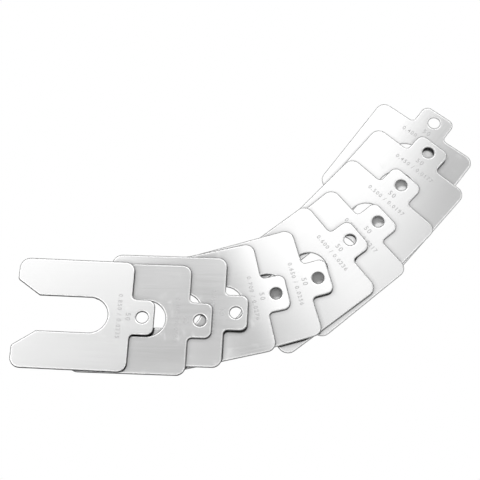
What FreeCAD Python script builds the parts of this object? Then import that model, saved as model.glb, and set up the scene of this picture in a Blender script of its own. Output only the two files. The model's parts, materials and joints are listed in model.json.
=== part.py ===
import FreeCAD, Part
import math
import os

# Ten slotted shims, loose, fanned out on a table like a hand of cards.
# Each shim is a flat U of sheet steel: two legs, an open slot with a flared
# mouth, and a pull tab with one round hole at the closed end.
# Sizes in mm. In a shim's own plan, x = 0 is its shoulder line, +x runs to
# the tab, the legs end at x = -BODY_LENGTH and y = 0 is the slot's middle.

# Plate
BODY_LENGTH = 50.0       # leg ends to shoulder line
BODY_WIDTH = 50.0
SLOT_WIDTH = 16.0        # passes a bolt up to M16
SLOT_STOP = 10.0         # metal between the slot's round end and the shoulder
MOUTH_WIDTH = 30.0       # the slot's flare at the leg ends
MOUTH_DEPTH = 10.0
TAB_WIDTH = 16.0
TAB_LENGTH = 10.0
HOLE_DIAMETER = 5.2      # hangs on a 5 mm peg
HOLE_FROM_SHOULDER = 4.8

# Corner radii in plan
TAB_CORNER = 3.2
TAB_ROOT = 1.8
SHOULDER_CORNER = 4.2
LEG_CORNER = 4.6
MOUTH_CORNER = 1.5

# Sheet
TOP_THICKNESS = 0.85     # shim 1, the top of the fan
THICKNESS_STEP = 0.05    # each shim is this much thinner than the one before
DEBURR = 0.2             # rounding of the tumbled outside edges
DEBURR_SHARE = 0.3       # of the sheet, at most, so that thin sheet keeps a flat edge
REST_GAP = 0.05          # air between a shim and what it leans on

# Where each shim was laid: x and y of its shoulder line's middle, and its turn
# in degrees from shim 1, top shim first.
LAY = [
    (0.0, 0.0, 0.0),
    (24.75, 0.0, 0.5),
    (39.75, 4.5, 0.5),
    (56.5, 13.5, 15.5),
    (74.25, 21.5, 19.0),
    (88.25, 38.75, 41.0),
    (100.25, 48.25, 43.5),
    (110.25, 66.0, 50.0),
    (122.0, 82.5, 53.0),
    (124.75, 98.0, 57.0),
]

UP = FreeCAD.Vector(0, 0, 1)
ACROSS = FreeCAD.Vector(0, 1, 0)


def plan_corners():
    """The shim's corners as (x, y, radius), round the outline from the tab."""
    half = [
        (TAB_LENGTH, TAB_WIDTH / 2, TAB_CORNER),
        (0.0, TAB_WIDTH / 2, TAB_ROOT),
        (0.0, BODY_WIDTH / 2, SHOULDER_CORNER),
        (-BODY_LENGTH, BODY_WIDTH / 2, LEG_CORNER),
        (-BODY_LENGTH, MOUTH_WIDTH / 2, MOUTH_CORNER),
        (MOUTH_DEPTH - BODY_LENGTH, SLOT_WIDTH / 2, MOUTH_CORNER),
        (-SLOT_STOP, SLOT_WIDTH / 2, SLOT_WIDTH / 2),
    ]
    other = [(x, -y, radius) for x, y, radius in reversed(half)]
    return half + other


def rounded_wire(corners):
    """A closed wire of straight runs joined by tangent arcs."""
    points = [FreeCAD.Vector(x, y, 0) for x, y, _ in corners]
    rounds = []
    for index, (_, _, radius) in enumerate(corners):
        corner = points[index]
        back = (points[index - 1] - corner).normalize()
        ahead = (points[(index + 1) % len(points)] - corner).normalize()
        half_angle = back.getAngle(ahead) / 2
        bisector = (back + ahead).normalize()
        tangent = radius / math.tan(half_angle)
        middle = corner + bisector * (radius / math.sin(half_angle) - radius)
        rounds.append((corner + back * tangent, middle, corner + ahead * tangent))
    edges = []
    for index, (start, middle, end) in enumerate(rounds):
        edges.append(Part.Arc(start, middle, end).toShape())
        following = rounds[(index + 1) % len(rounds)][0]
        if (following - end).Length > 1e-6:
            edges.append(Part.LineSegment(end, following).toShape())
    return Part.Wire(edges)


def plan_face():
    """The shim's flat face with its tab hole, in its own plan."""
    centre = FreeCAD.Vector(HOLE_FROM_SHOULDER, 0, 0)
    hole = Part.Face(Part.Wire(Part.makeCircle(HOLE_DIAMETER / 2, centre, UP)))
    return Part.Face(rounded_wire(plan_corners())).cut(hole).Faces[0]


def shim_solid(face, thickness):
    """One flat shim: the face pushed up to its thickness, outside edges deburred."""
    blank = face.extrude(UP * thickness)
    outside = []
    for edge in blank.Edges:
        flat = edge.BoundBox.ZLength < thickness / 2
        on_rim = abs(edge.CenterOfMass.x - HOLE_FROM_SHOULDER) < 1e-3 and abs(edge.CenterOfMass.y) < 1e-3
        if flat and not on_rim:
            outside.append(edge)
    return blank.makeFillet(min(DEBURR, DEBURR_SHARE * thickness), outside)


class Shim:
    """One shim: its sheet, its place on the table and how it leans."""

    def __init__(self, number, place):
        x, y, turn = place
        self.name = "shim_%02d" % number
        self.thickness = TOP_THICKNESS - THICKNESS_STEP * (number - 1)
        self.flat = FreeCAD.Placement(FreeCAD.Vector(x, y, 0), FreeCAD.Rotation(UP, turn))
        self.slope = 0.0

    def plan(self, face):
        """The face where the shim lies, seen from above."""
        return face.transformed(self.flat.toMatrix())

    def reach(self, point):
        """How far a point is from the leg ends, along the shim."""
        return self.flat.inverse().multVec(point).x + BODY_LENGTH

    def top_at(self, point):
        """Height of the upper face above a point of the table."""
        return self.slope * self.reach(point) + self.thickness * math.hypot(1, self.slope)

    def lean_on(self, lower, face):
        """Leg ends stay on the table, and the tab end rises until it clears the lower shim."""
        overlap = self.plan(face).common(lower.plan(face))
        for edge in overlap.Edges:
            for point in edge.discretize(12):
                needed = (lower.top_at(point) + REST_GAP) / self.reach(point)
                self.slope = max(self.slope, needed)

    def placement(self):
        """The shim's lean about its leg ends, then its place on the table."""
        legs = FreeCAD.Vector(-BODY_LENGTH, 0, 0)
        tilt = FreeCAD.Rotation(ACROSS, -math.degrees(math.atan(self.slope)))
        return self.flat * FreeCAD.Placement(FreeCAD.Vector(), tilt, legs)


def laid_shims(face):
    """All ten shims, top first, each leaning on those under it."""
    shims = [Shim(number, place) for number, place in enumerate(LAY, start=1)]
    for index in reversed(range(len(shims))):
        for lower in shims[index + 1:]:
            shims[index].lean_on(lower, face)
    return shims


def build():
    """Each shim's solid in the row's frame, whose origin is under the fan's middle."""
    face = plan_face()
    shims = laid_shims(face)
    solids = {}
    for shim in shims:
        solid = shim_solid(face, shim.thickness)
        solid.Placement = shim.placement()
        solids[shim.name] = solid
    box = Part.makeCompound(list(solids.values())).optimalBoundingBox()
    shift = FreeCAD.Vector(-box.Center.x, -box.Center.y, -box.ZMin)
    for solid in solids.values():
        solid.translate(shift)
    return shims, solids, shift


SHIMS, SOLIDS, SHIFT = build()
os.makedirs("parts", exist_ok=True)
for shim in SHIMS:
    SOLIDS[shim.name].exportStep("parts/%s.step" % shim.name)
    lean = math.degrees(math.atan(shim.slope))
    print("%s  %.2f mm thick, leans %.2f degrees" % (shim.name, shim.thickness, lean))
print("fan moved by %.3f, %.3f, %.3f" % tuple(SHIFT))
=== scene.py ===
# %% [markdown]
# # A fan of slotted shims
# Slotted shims are thin steel plates that are pushed round the foot bolts of a machine to
# bring it into line. Ten of them lie on a white table like a hand of cards, the thickest
# on top. The CAD model already holds every shim at its real size and place, so this file
# only dresses them: a camera, soft light, a rolled stainless finish and small figures.

# %% Load the CAD frame
import json
import math

import bpy
from mathutils import Matrix, Vector


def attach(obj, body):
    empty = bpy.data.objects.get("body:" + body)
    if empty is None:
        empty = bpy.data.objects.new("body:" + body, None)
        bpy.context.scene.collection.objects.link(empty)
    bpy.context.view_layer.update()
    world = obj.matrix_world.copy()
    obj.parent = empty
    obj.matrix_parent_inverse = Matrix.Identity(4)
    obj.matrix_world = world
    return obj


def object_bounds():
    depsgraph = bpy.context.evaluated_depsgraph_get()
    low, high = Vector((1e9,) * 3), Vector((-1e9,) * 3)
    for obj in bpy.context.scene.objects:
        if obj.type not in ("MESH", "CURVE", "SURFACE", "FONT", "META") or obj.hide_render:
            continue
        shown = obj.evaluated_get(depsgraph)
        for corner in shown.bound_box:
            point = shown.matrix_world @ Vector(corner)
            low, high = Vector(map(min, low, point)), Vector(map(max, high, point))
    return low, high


MM = 0.001  # Blender works in metres here, a shim is told in millimetres

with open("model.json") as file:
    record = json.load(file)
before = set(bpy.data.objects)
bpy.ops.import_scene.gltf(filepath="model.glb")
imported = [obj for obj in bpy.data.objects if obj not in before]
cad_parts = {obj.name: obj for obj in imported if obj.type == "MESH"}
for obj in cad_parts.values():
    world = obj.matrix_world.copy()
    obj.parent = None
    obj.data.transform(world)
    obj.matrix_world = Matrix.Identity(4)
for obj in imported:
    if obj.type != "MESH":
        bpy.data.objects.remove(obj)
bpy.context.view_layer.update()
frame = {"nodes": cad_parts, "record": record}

# %% [markdown]
# ## Two helpers
# Colours are picked as the hex values that a screen shows, and Blender calculates with
# linear light, so one function turns the first into the second. Materials are trees of
# nodes: a second function adds one node together with its settings and its links, and
# every material below is built with it.

# %% Two helpers
def linear(hex_colour):
    """An sRGB hex colour as linear RGBA."""
    channels = [int(hex_colour[i:i + 2], 16) / 255 for i in (1, 3, 5)]
    return [c / 12.92 if c <= 0.04045 else ((c + 0.055) / 1.055) ** 2.4 for c in channels] + [1.0]


def add(tree, kind, links=None, **settings):
    """One node with its settings: links maps an input to a value or to another node's output."""
    node = tree.nodes.new(kind)
    for name, value in settings.items():
        setattr(node, name, value)
    for socket, source in (links or {}).items():
        if isinstance(source, bpy.types.NodeSocket):
            tree.links.new(source, node.inputs[socket])
        else:
            node.inputs[socket].default_value = source
    return node


print("mid grey #808080 is", round(linear("#808080")[0], 3), "in linear light")

# %% [markdown]
# ## Where each shim is
# The record gives two points on every shim: its tab hole and the centre of its slot's
# round end. They and the hole's axis make the shim's own frame, with x to the tab and
# z out of its upper face. Measuring the mesh would give the same frame, but with more
# code, and it would have to be told which face is the upper one.

# %% Shim frames from the record's mounts
mounts = {mount["name"]: mount for mount in frame["record"]["mounts"]}


def shim_frame(number):
    """The matrix from a shim's own frame, at its tab hole on the upper face, to the world's."""
    hole = mounts["tab_hole_%02d" % number]
    slot = mounts["slot_%02d" % number]
    up = Vector(hole["axis"]).normalized()
    thickness = hole["dims"]["length_mm"] * MM
    along = (Vector(hole["pos_m"]) - Vector(slot["pos_m"])).normalized()
    across = up.cross(along).normalized()
    place = Vector(hole["pos_m"]) + up * thickness / 2
    return Matrix.Translation(place) @ Matrix((along, across, up)).transposed().to_4x4()


numbers = [int(name[-2:]) for name in sorted(frame["nodes"])]
frames = {number: shim_frame(number) for number in numbers}
thickness_mm = {n: mounts["tab_hole_%02d" % n]["dims"]["length_mm"] for n in numbers}
thickest_mm = max(thickness_mm.values())
print(len(frames), "shims, from", thickest_mm, "to", min(thickness_mm.values()), "mm thick")

# %% [markdown]
# ## Camera
# A long lens from high up keeps the plates nearly free of perspective, so all ten look
# the same size. The camera is placed by how far it is turned and raised about a point on
# the table, which is easier to adjust than a place and three angles.

# %% Camera
TARGET = Vector((-3.0, -2.57, 0.0)) * MM  # the point on the table that it looks at
AZIMUTH = math.radians(2.29)
ELEVATION = math.radians(67.4)
ROLL = math.radians(1.39)
DISTANCE = 0.770       # metres from that point
LENS = 132.5           # millimetres, as the sensor is
SENSOR = 36.0
FAR_CLIP = 100.0       # metres, past the far edge of the table

lens = bpy.data.cameras.new("camera")
lens.lens = LENS
lens.sensor_width = SENSOR
lens.clip_end = FAR_CLIP
camera = bpy.data.objects.new("camera", lens)
bpy.context.scene.collection.objects.link(camera)
out = Vector((
    math.cos(ELEVATION) * math.sin(AZIMUTH),
    -math.cos(ELEVATION) * math.cos(AZIMUTH),
    math.sin(ELEVATION),
))
right = Vector((0, 0, 1)).cross(out).normalized()
turn = Matrix((right, out.cross(right), out)).transposed() @ Matrix.Rotation(ROLL, 3, "Z")
camera.matrix_world = Matrix.Translation(TARGET + out * DISTANCE) @ turn.to_4x4()
bpy.context.scene.camera = camera
print("camera at", [round(v, 3) for v in camera.location])

# %% [markdown]
# ## Table: a lit sheet of white acrylic
# Small metal parts are often shown on a sheet of opal acrylic that is lit from below, so
# that nothing but the metal is seen. A plain white table would pick up the shims' shade
# and turn grey round them. So the sheet glows for the camera, and for every other ray it
# is a matt sheet with no lamp: the steel then mirrors a table. Four of the tab holes look
# down on a patch of sheet that the shims shut in, which is grey; the others show open
# table or the next shim. Once the shims are lifted that shade is gone, and an ambient
# occlusion node can tell.

# %% Table
TABLE_SIZE = 12.0            # so large that no view sees its edge
TABLE_DROP = 0.05 * MM       # air under the lowest shim, so that the two don't flicker
ACRYLIC = "#969696"          # opal acrylic with its lamp off, as the shade shows it
ACRYLIC_ROUGHNESS = 0.9
ACRYLIC_SHINE = 0.1
GLOW = "#FFFFFF"

half = TABLE_SIZE / 2
corners = [(-half, -half), (half, -half), (half, half), (-half, half)]
table_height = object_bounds()[0][2] - TABLE_DROP
table_mesh = bpy.data.meshes.new("table")
table_mesh.from_pydata([(x, y, table_height) for x, y in corners], [], [(0, 1, 2, 3)])
table = bpy.data.objects.new("table", table_mesh)
bpy.context.scene.collection.objects.link(table)

acrylic = bpy.data.materials.new("lit_white_acrylic")
acrylic.use_nodes = True
tree = acrylic.node_tree
sheet = tree.nodes["Principled BSDF"]
sheet.inputs["Base Color"].default_value = linear(ACRYLIC)
sheet.inputs["Roughness"].default_value = ACRYLIC_ROUGHNESS
sheet.inputs["Specular IOR Level"].default_value = ACRYLIC_SHINE
glow = add(tree, "ShaderNodeEmission", {"Color": linear(GLOW), "Strength": 1.0})
table_mesh.materials.append(acrylic)
print("table at height", round(table_height / MM, 3), "mm")

# %% Unlit spots under four tab holes
SHADED_HOLES = (4, 5, 7, 8)
SPOT_RADIUS = 5.0 * MM       # wider than the hole, so that no lit floor shows at its side
SPOT_EDGE = 1.0 * MM
CLOSE_SHADE = 6.0 * MM       # a shim lifted higher than this leaves the sheet fully lit
SHUT_IN, OPEN_SKY = 0.75, 0.95  # shares of open sky at which the sheet is dark and lit
RAYS = 8                     # rays that a shade or edge node sends out at each point

place = add(tree, "ShaderNodeTexCoord").outputs["Object"]
nearest = TABLE_SIZE
for number in SHADED_HOLES:
    under = Vector((frames[number].translation.x, frames[number].translation.y, table_height))
    away = add(tree, "ShaderNodeVectorMath", {0: place, 1: under}, operation="DISTANCE")
    nearest = add(tree, "ShaderNodeMath", {
        0: away.outputs["Value"], 1: nearest,
    }, operation="MINIMUM").outputs[0]
lamp = add(tree, "ShaderNodeMapRange", {
    "Value": nearest, "From Min": SPOT_RADIUS - SPOT_EDGE, "From Max": SPOT_RADIUS,
})
sky_seen = add(tree, "ShaderNodeAmbientOcclusion", {"Distance": CLOSE_SHADE}, samples=RAYS)
clear = add(tree, "ShaderNodeMapRange", {
    "Value": sky_seen.outputs["AO"], "From Min": SHUT_IN, "From Max": OPEN_SKY,
})
lit = add(tree, "ShaderNodeMath", {
    0: lamp.outputs["Result"], 1: clear.outputs["Result"],
}, operation="MAXIMUM")
seen = add(tree, "ShaderNodeLightPath").outputs["Is Camera Ray"]
share = add(tree, "ShaderNodeMath", {0: seen, 1: lit.outputs[0]}, operation="MULTIPLY")
shown = add(tree, "ShaderNodeMixShader", {
    0: share.outputs[0], 1: sheet.outputs[0], 2: glow.outputs[0],
})
tree.links.new(shown.outputs[0], tree.nodes["Material Output"].inputs["Surface"])
print("spots under tab holes", SHADED_HOLES, "of", SPOT_RADIUS / MM, "mm radius")

# %% [markdown]
# ## White tent with grey cards
# Polished metal shows what it reflects, so the light is built as things to reflect. A
# maker would hang white cloth all round the table and hold soft grey cards over it.
# Cloth and cards could be real objects, but then they would have to stay out of every
# view. Here they are drawn on the world: bright overhead, less so at the height of the
# table, with three dimmed patches in the directions that the flat plates mirror.

# %% White tent
TENT = 2.4                   # how bright the white cloth is overhead
WALLS = 1.02                 # and at the height of the table
WALL_TOP, CEILING = 0.15, 0.75  # heights, on a sphere of radius 1, between which it brightens
CLOTH = "#FFFFFF"
CARDS = [
    # degrees right, degrees back, full grey within, none beyond, share of the white left
    (-10.5, 20.0, 2.5, 7.5, 0.34),
    (13.0, 22.0, 5.0, 10.0, 0.34),
    (0.0, 6.0, 4.0, 19.0, 0.6),
]

world = bpy.data.worlds.new("white_tent")
bpy.context.scene.world = world
world.use_nodes = True
tree = world.node_tree
way = add(tree, "ShaderNodeTexCoord").outputs["Generated"]
sky = add(tree, "ShaderNodeVectorMath", {0: way}, operation="NORMALIZE").outputs[0]


def grey_card(degrees_right, degrees_back, inner, outer, share):
    """How much one soft-edged card dims the tent, by direction."""
    centre = Vector((
        math.tan(math.radians(degrees_right)), math.tan(math.radians(degrees_back)), 1.0,
    )).normalized()
    near = add(tree, "ShaderNodeVectorMath", {0: sky, 1: centre}, operation="DOT_PRODUCT")
    dim = add(tree, "ShaderNodeMapRange", {
        "Value": near.outputs["Value"],
        "From Min": math.cos(math.radians(outer)), "From Max": math.cos(math.radians(inner)),
        "To Min": 1.0, "To Max": share,
    }, interpolation_type="SMOOTHSTEP")
    return dim.outputs["Result"]


height = add(tree, "ShaderNodeSeparateXYZ", {0: sky}).outputs["Z"]
level = add(tree, "ShaderNodeMapRange", {
    "Value": height, "From Min": WALL_TOP, "From Max": CEILING, "To Min": WALLS, "To Max": TENT,
}, interpolation_type="SMOOTHSTEP").outputs["Result"]
for card in CARDS:
    level = add(tree, "ShaderNodeMath", {0: level, 1: grey_card(*card)}, operation="MULTIPLY").outputs[0]
tree.links.new(level, tree.nodes["Background"].inputs["Strength"])
tree.nodes["Background"].inputs["Color"].default_value = linear(CLOTH)
print("white tent with", len(CARDS), "grey cards")

# %% [markdown]
# ## Key light
# The tent alone gives no direction. One small soft box, behind the shims and to their
# left, puts the shade in the tab holes where it belongs. The steel would mirror it as a
# hot patch, so it is hidden from reflections and only lights the matt table.

# %% Key light
KEY_WAY = Vector((-0.35, 0.85, 0.9)).normalized()
KEY_DISTANCE = 1.3           # metres
KEY_SIZE = 0.30
KEY_POWER = 36.0             # watts

key = bpy.data.lights.new("key_softbox", "AREA")
key.shape = "SQUARE"
key.size = KEY_SIZE
key.energy = KEY_POWER
key_box = bpy.data.objects.new("key_softbox", key)
bpy.context.scene.collection.objects.link(key_box)
key_box.visible_glossy = False
aim = KEY_WAY.to_track_quat("Z", "Y").to_matrix().to_4x4()
key_box.matrix_world = Matrix.Translation(KEY_WAY * KEY_DISTANCE) @ aim
print("key light", KEY_DISTANCE, "m away, behind and to the left")

# %% [markdown]
# ## Rolled stainless sheet
# The shims are punched from cold-rolled stainless strip. Rolling leaves a smooth satin
# skin with a faint grain along the strip, punching leaves a dull sheared wall, and the
# tumbler softens the rim. The CAD plates are dead flat, with a very small round on their
# edges, and their mesh stays as it is. So the finish is made in the shader: first the
# normal, which says what a point mirrors, then the grain, then the edge, where a lighter
# colour paints a highlight on the rim and the dark wall colour also paints edge shade.

# %% Steel settings
STEEL = "#BBBBBB"            # stainless reflects about half of the light
RIM_HIGHLIGHT = "#E2E2E2"        # painted highlight: lighter steel on the rim just inside the edge, where the rolled edge meets the light
SHEARED_AND_SHADED = "#262626"          # the torn wall of a punched edge is darker; the same colour paints edge shade on the rim beside it
ROUGHNESS = 0.15             # satin: reflections are soft, but not gone
SHEARED_ROUGHNESS = 0.45
SHADE_MM = 2.5               # how far the shade of a shim lying above reaches
print("steel mirrors", round(linear(STEEL)[0], 2), "of the light")

# %% [markdown]
# ### The normal: bow and rolled edge
# Thin sheet is never quite flat, and its slow bow is what makes one plate fade from
# white to grey. The plate could be bent as a mesh, but the CAD shape is fixed, and very
# little is enough to see: half a degree of bow is a tenth of a millimetre. So only the
# normal is turned, by a steady lean, and by a bow that grows with the distance from the
# plate's middle. A Bevel node rolls the edge over in the same way, wider than the real
# 0.2 mm so that it shows.

# %% Bowed normal
EDGE_ROLL_MM = 1.15
BOW_AT_MM = 25.0             # a bow is told as its slope this far from the plate's middle
MIDDLE_FROM_HOLE_MM = -30.0


def rolled_edge(tree):
    """The plate's normal with its edges rolled over."""
    return add(tree, "ShaderNodeBevel", {"Radius": EDGE_ROLL_MM * MM}, samples=RAYS).outputs["Normal"]


def bowed(tree, where, flat, number, lean_right, lean_back, bow, bow_towards):
    """The normal of a bowed and leaning plate, with angles in degrees, right being +X."""
    middle = frames[number] @ Vector((MIDDLE_FROM_HOLE_MM * MM, 0.0, 0.0))
    bend_way = Matrix.Rotation(math.radians(bow_towards), 3, "Z") @ Vector((1.0, 0.0, 0.0))
    from_middle = add(tree, "ShaderNodeVectorMath", {0: where, 1: middle}, operation="SUBTRACT")
    slope = add(tree, "ShaderNodeVectorMath", {
        0: from_middle.outputs[0], 1: bend_way * math.radians(bow) / (BOW_AT_MM * MM),
    }, operation="DOT_PRODUCT")
    curve = add(tree, "ShaderNodeVectorMath", {
        0: bend_way, "Scale": slope.outputs["Value"],
    }, operation="SCALE")
    leaning = add(tree, "ShaderNodeVectorMath", {
        0: curve.outputs[0], 1: (math.radians(lean_right), math.radians(lean_back), 0.0),
    }, operation="ADD")
    bent = add(tree, "ShaderNodeVectorMath", {0: flat, 1: leaning.outputs[0]}, operation="ADD")
    return add(tree, "ShaderNodeVectorMath", {0: bent.outputs[0]}, operation="NORMALIZE").outputs[0]


print("edges rolled over", EDGE_ROLL_MM, "mm")

# %% [markdown]
# ### The skin: grain, clouds and rub marks
# Rolling drags the grain out along the strip, the polish comes and goes in slow clouds,
# and fingers and other shims leave small dull marks. All three are noise, stretched to
# a real size in millimetres in the shim's own frame, and all three only change how
# sharp the reflection is: clean steel has one colour. Real rolling grain is a few
# hundredths of a millimetre wide, which would not show, so it is drawn coarser.

# %% Patterns in the skin
# size is along, across and through the plate, and step is how far the pattern moves on
# from one shim to the next, so that no two plates match
GRAIN = {"size_mm": (30.0, 0.8, 1.0), "step": (7.3, 3.1, 0.0), "detail": 3.0, "roughness": 0.6}
CLOUD = {"size_mm": (45.0, 18.0, 18.0), "step": (1.7, 5.3, 2.9), "detail": 2.0, "roughness": 0.5}
MARK = {"size_mm": (5.0, 8.333, 5.0), "step": (4.1, 6.7, 0.0), "detail": 4.0, "roughness": 0.7}


def own_place(tree, where, number):
    """A point in the shim's own millimetres, x to the tab."""
    matrix = frames[number]
    return add(tree, "ShaderNodeMapping", {
        "Vector": where, "Location": matrix.translation, "Rotation": matrix.to_euler(),
        "Scale": (MM, MM, MM),
    }, vector_type="TEXTURE").outputs["Vector"]


def pattern(tree, local, number, size_mm, step, detail, roughness):
    """Noise whose spots have a real size on the shim."""
    spread = add(tree, "ShaderNodeMapping", {
        "Vector": local, "Scale": tuple(1 / size for size in size_mm),
        "Location": tuple(number * s for s in step),
    })
    return add(tree, "ShaderNodeTexNoise", {
        "Vector": spread.outputs[0], "Scale": 1.0, "Detail": detail, "Roughness": roughness,
    }).outputs[0]


print("grain", GRAIN["size_mm"][1], "mm wide, clouds", CLOUD["size_mm"][1], "mm wide")

# %% Skin roughness
GRAIN_SWING = 0.03           # roughness that the grain adds or takes
CLOUD_SWING = 0.05
MARK_SWING = 0.05
MARK_FROM, MARK_FULL = 0.58, 0.72  # noise above the first is a mark, above the second a full one


def skin_roughness(tree, local, grain, number):
    """How dull the skin is, from its grain, its clouds and its rub marks."""
    cloud = pattern(tree, local, number, **CLOUD)
    mark = pattern(tree, local, number, **MARK)
    rubbed = add(tree, "ShaderNodeMapRange", {
        "Value": mark, "From Min": MARK_FROM, "From Max": MARK_FULL, "To Max": MARK_SWING,
    }).outputs["Result"]
    rolled = add(tree, "ShaderNodeMapRange", {
        "Value": grain, "To Min": ROUGHNESS - GRAIN_SWING, "To Max": ROUGHNESS + GRAIN_SWING,
    }).outputs["Result"]
    clouded = add(tree, "ShaderNodeMath", {
        0: cloud, 1: CLOUD_SWING, 2: rolled,
    }, operation="MULTIPLY_ADD").outputs[0]
    return add(tree, "ShaderNodeMath", {0: clouded, 1: rubbed}, operation="ADD").outputs[0]


print("roughness from", ROUGHNESS - GRAIN_SWING, "up by", GRAIN_SWING * 2 + CLOUD_SWING + MARK_SWING)

# %% [markdown]
# ### The edge: painted bright rim, dark wall and painted edge shade
# Seen from above, a punched edge is a thin bright line, where the rolled rim catches the
# light, and then a dark one, the sheared wall. Here the bright line is a painted highlight,
# a lighter steel colour on the rim, and the dark band is the sheared wall's own dull colour
# together with painted edge shade, carried onto the rolled rim inside it. Both could be
# separate strips of mesh. It is simpler to ask how far the rolled normal has turned away
# from the plate's own: a little is the rim, more is the wall. Thin sheet turns it less, so
# the limits shrink with the thickness, and its wall is lighter, as so little of it shows.

# %% Edge bands
RIM_FROM, RIM_FULL = 0.002, 0.012    # how far the normal has turned, as 1 less its cosine
# where the dark wall colour starts and is full; on the top face beside the edge it is painted edge shade
WALL_AND_SHADE_FROM, WALL_AND_SHADE_FULL = 0.018, 0.07
THIN_WALL_AND_SHADE = 0.25             # the strength of the dark wall and its painted edge shade on sheet of no thickness at all


def edge_bands(tree, flat, number):
    """Where the painted rim highlight and the dark wall with its painted edge shade are, from 0 to 1
    each.
    """
    thin = thickness_mm[number] / thickest_mm
    facing = add(tree, "ShaderNodeVectorMath", {
        0: flat, 1: frames[number].to_3x3() @ Vector((0, 0, 1)),
    }, operation="DOT_PRODUCT")
    upright = add(tree, "ShaderNodeMath", {0: facing.outputs["Value"]}, operation="ABSOLUTE")
    # the band where the rim highlight is painted
    rim = add(tree, "ShaderNodeMapRange", {
        "Value": upright.outputs[0], "From Min": 1 - RIM_FROM * thin, "From Max": 1 - RIM_FULL * thin,
    }, interpolation_type="SMOOTHSTEP")
    # the sheared wall, and beside it on the rolled rim a band of painted edge shade
    wall_and_edge_shade = add(tree, "ShaderNodeMapRange", {
        "Value": upright.outputs[0], "From Min": 1 - WALL_AND_SHADE_FROM * thin, "From Max": 1 - WALL_AND_SHADE_FULL * thin,
        "To Max": THIN_WALL_AND_SHADE + (1 - THIN_WALL_AND_SHADE) * thin,
    }, interpolation_type="SMOOTHSTEP")
    return rim.outputs["Result"], wall_and_edge_shade.outputs["Result"]


thinnest = min(thickness_mm.values()) / thickest_mm
print("the thinnest shim's wall is", round(THIN_WALL_AND_SHADE + (1 - THIN_WALL_AND_SHADE) * thinnest, 2), "as strong")

# %% [markdown]
# ### The whole steel
# One material per shim, because each plate is bowed in its own way. The skin's colour
# passes through an ambient occlusion node, which darkens it close to a shim that lies on
# it: that line of shade is what parts ten plates of the same bright metal.

# %% Steel material
GRAIN_DEPTH_MM = 0.010
GRAIN_STRENGTH = 0.4


def rolled_stainless(number, lean_right, lean_back, bow, bow_towards):
    """Satin rolled stainless for one shim, with its own lean and bow in degrees."""
    steel = bpy.data.materials.new("rolled_stainless_%02d" % number)
    steel.use_nodes = True
    tree = steel.node_tree
    shader = tree.nodes["Principled BSDF"]
    shader.inputs["Metallic"].default_value = 1.0
    where = add(tree, "ShaderNodeTexCoord").outputs["Object"]
    local = own_place(tree, where, number)
    flat = rolled_edge(tree)
    normal = bowed(tree, where, flat, number, lean_right, lean_back, bow, bow_towards)
    grain = pattern(tree, local, number, **GRAIN)
    rim, wall_and_edge_shade = edge_bands(tree, flat, number)

    shade = add(tree, "ShaderNodeAmbientOcclusion", {
        "Color": linear(STEEL), "Distance": SHADE_MM * MM,
    }, samples=RAYS)
    # painted highlight: the rim gets a lighter steel colour than the rest of the skin
    rim_highlighted = add(tree, "ShaderNodeMix", {
        "Factor": rim, 6: shade.outputs["Color"], 7: linear(RIM_HIGHLIGHT),
    }, data_type="RGBA")
    # the dark colour of the sheared wall, which also paints edge shade on the rolled rim inside it
    colour = add(tree, "ShaderNodeMix", {
        "Factor": wall_and_edge_shade, 6: rim_highlighted.outputs[2], 7: linear(SHEARED_AND_SHADED),
    }, data_type="RGBA")
    rough = add(tree, "ShaderNodeMix", {
        "Factor": wall_and_edge_shade, 2: skin_roughness(tree, local, grain, number), 3: SHEARED_ROUGHNESS,
    })
    bump = add(tree, "ShaderNodeBump", {
        "Height": grain, "Normal": normal, "Strength": GRAIN_STRENGTH, "Distance": GRAIN_DEPTH_MM * MM,
    })
    tree.links.new(colour.outputs[2], shader.inputs["Base Color"])
    tree.links.new(rough.outputs[0], shader.inputs["Roughness"])
    tree.links.new(bump.outputs[0], shader.inputs["Normal"])
    return steel


print("steel grain", GRAIN_DEPTH_MM, "mm deep")

# %% [markdown]
# ## Dress the shims
# Every plate gets its own lean and bow, in degrees. A lean changes the tone of the whole
# plate, and a bow makes it fade from one side to the other. The last number is the way
# in which it fades, turned to the left from +X. A bow above zero is a dome, and one
# below zero a dish.

# %% Dress the shims
BOWS = {
    # shim: lean to the right, lean to the back, bow, way of the bow
    1: (-1.1, 1.7, -0.4, 0),
    2: (0.0, 0.0, -0.4, 10),
    3: (-1.3, -0.3, 1.4, 15),
    4: (-3.4, -0.2, 4.2, 27),
    5: (-0.3, 0.0, 2.0, 48),
    6: (-0.6, 0.0, 2.4, 44),
    7: (0.0, 0.0, 1.2, -65),
    8: (0.3, 0.0, 1.4, -50),
    9: (0.6, 0.0, 1.9, -25),
    10: (1.0, 0.0, 2.6, -25),
}
for number in numbers:
    shim = frame["nodes"]["shim_%02d" % number]
    shim.data.materials.clear()
    shim.data.materials.append(rolled_stainless(number, *BOWS[number]))
print(len(BOWS), "shims dressed in rolled stainless")

# %% [markdown]
# ## Etched figures
# Every shim says how thick it is, in millimetres and in inches, and its nominal size, in
# small grey figures across the plate by the tab. Real ones are etched, which dulls the
# steel and takes hardly any of it away. They could be drawn in the steel's own material,
# but figures made of nodes are hard to change. So they are flat type, a hair above the
# steel, turned to a mesh whose points can be laid on the leaning plate.

# %% Etched finish
ETCHED = "#8E8E8E"           # dulled steel: grey, and still a metal
ETCHED_METALLIC = 0.9
ETCHED_ROUGHNESS = 0.4

etched = bpy.data.materials.new("etched_grey")
etched.use_nodes = True
etched_shader = etched.node_tree.nodes["Principled BSDF"]
etched_shader.inputs["Base Color"].default_value = linear(ETCHED)
etched_shader.inputs["Metallic"].default_value = ETCHED_METALLIC
etched_shader.inputs["Roughness"].default_value = ETCHED_ROUGHNESS
print("etched figures are", ETCHED)

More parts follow.
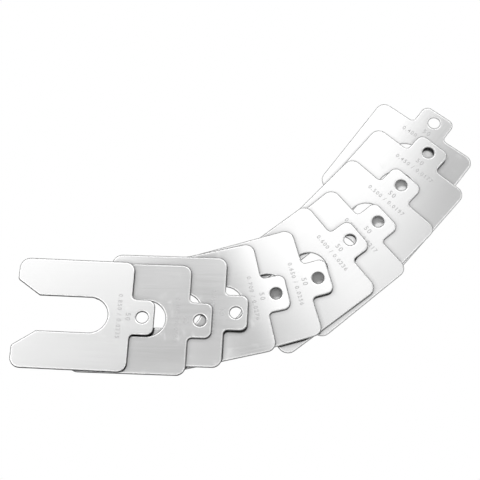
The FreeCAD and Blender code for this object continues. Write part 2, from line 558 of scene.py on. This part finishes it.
# %% Figures
CAPITAL_SHARE = 0.7          # a figure is this share of its type size
STROKE_SPREAD = 0.04 * MM    # etching spreads each stroke by this much
FIGURE_SPACING = 1.35        # the marking machine sets its figures wide apart
FIGURE_RISE = 0.006 * MM     # just enough to clear the steel
FIGURE_SKIN = 0.002 * MM     # half of the type's thickness
THICKNESS_HEIGHT_MM = 1.75
THICKNESS_FROM_HOLE_MM = -10.0
SIZE_HEIGHT_MM = 2.1
SIZE_FROM_HOLE_MM = -6.1
NOMINAL_SIZE = "50"          # millimetres across the plate
INCH_MM = 25.4


def figures(name, text, number, along_mm, height_mm):
    """Flat type on a shim's upper face, read with the tab to the top."""
    curve = bpy.data.curves.new(name, "FONT")
    curve.body = text
    curve.align_x = "CENTER"
    curve.align_y = "CENTER"
    curve.size = height_mm * MM / CAPITAL_SHARE
    curve.space_character = FIGURE_SPACING
    curve.offset = STROKE_SPREAD
    curve.extrude = FIGURE_SKIN
    draft = bpy.data.objects.new(name, curve)
    mesh = bpy.data.meshes.new_from_object(draft)
    bpy.data.objects.remove(draft)
    mesh.name = name
    mesh.transform(
        frames[number]
        @ Matrix.Translation((along_mm * MM, 0, FIGURE_RISE))
        @ Matrix.Rotation(-math.pi / 2, 4, "Z")
    )
    mesh.materials.clear()
    mesh.materials.append(etched)
    piece = bpy.data.objects.new(name, mesh)
    bpy.context.scene.collection.objects.link(piece)
    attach(piece, "shim_%02d" % number)


for number in numbers:
    both = "%.3f / %.4f" % (thickness_mm[number], thickness_mm[number] / INCH_MM)
    figures("figures_%02d" % number, both, number, THICKNESS_FROM_HOLE_MM, THICKNESS_HEIGHT_MM)
    figures("size_%02d" % number, NOMINAL_SIZE, number, SIZE_FROM_HOLE_MM, SIZE_HEIGHT_MM)
    print("shim", number, "reads", both)

# %% [markdown]
# ## Picture
# The filmic views that Blender offers would grey the white table, so the plain sRGB view
# is kept.

# %% Picture settings
bpy.context.scene.view_settings.view_transform = "Standard"
bpy.context.scene.view_settings.look = "None"
print("view transform:", bpy.context.scene.view_settings.view_transform)
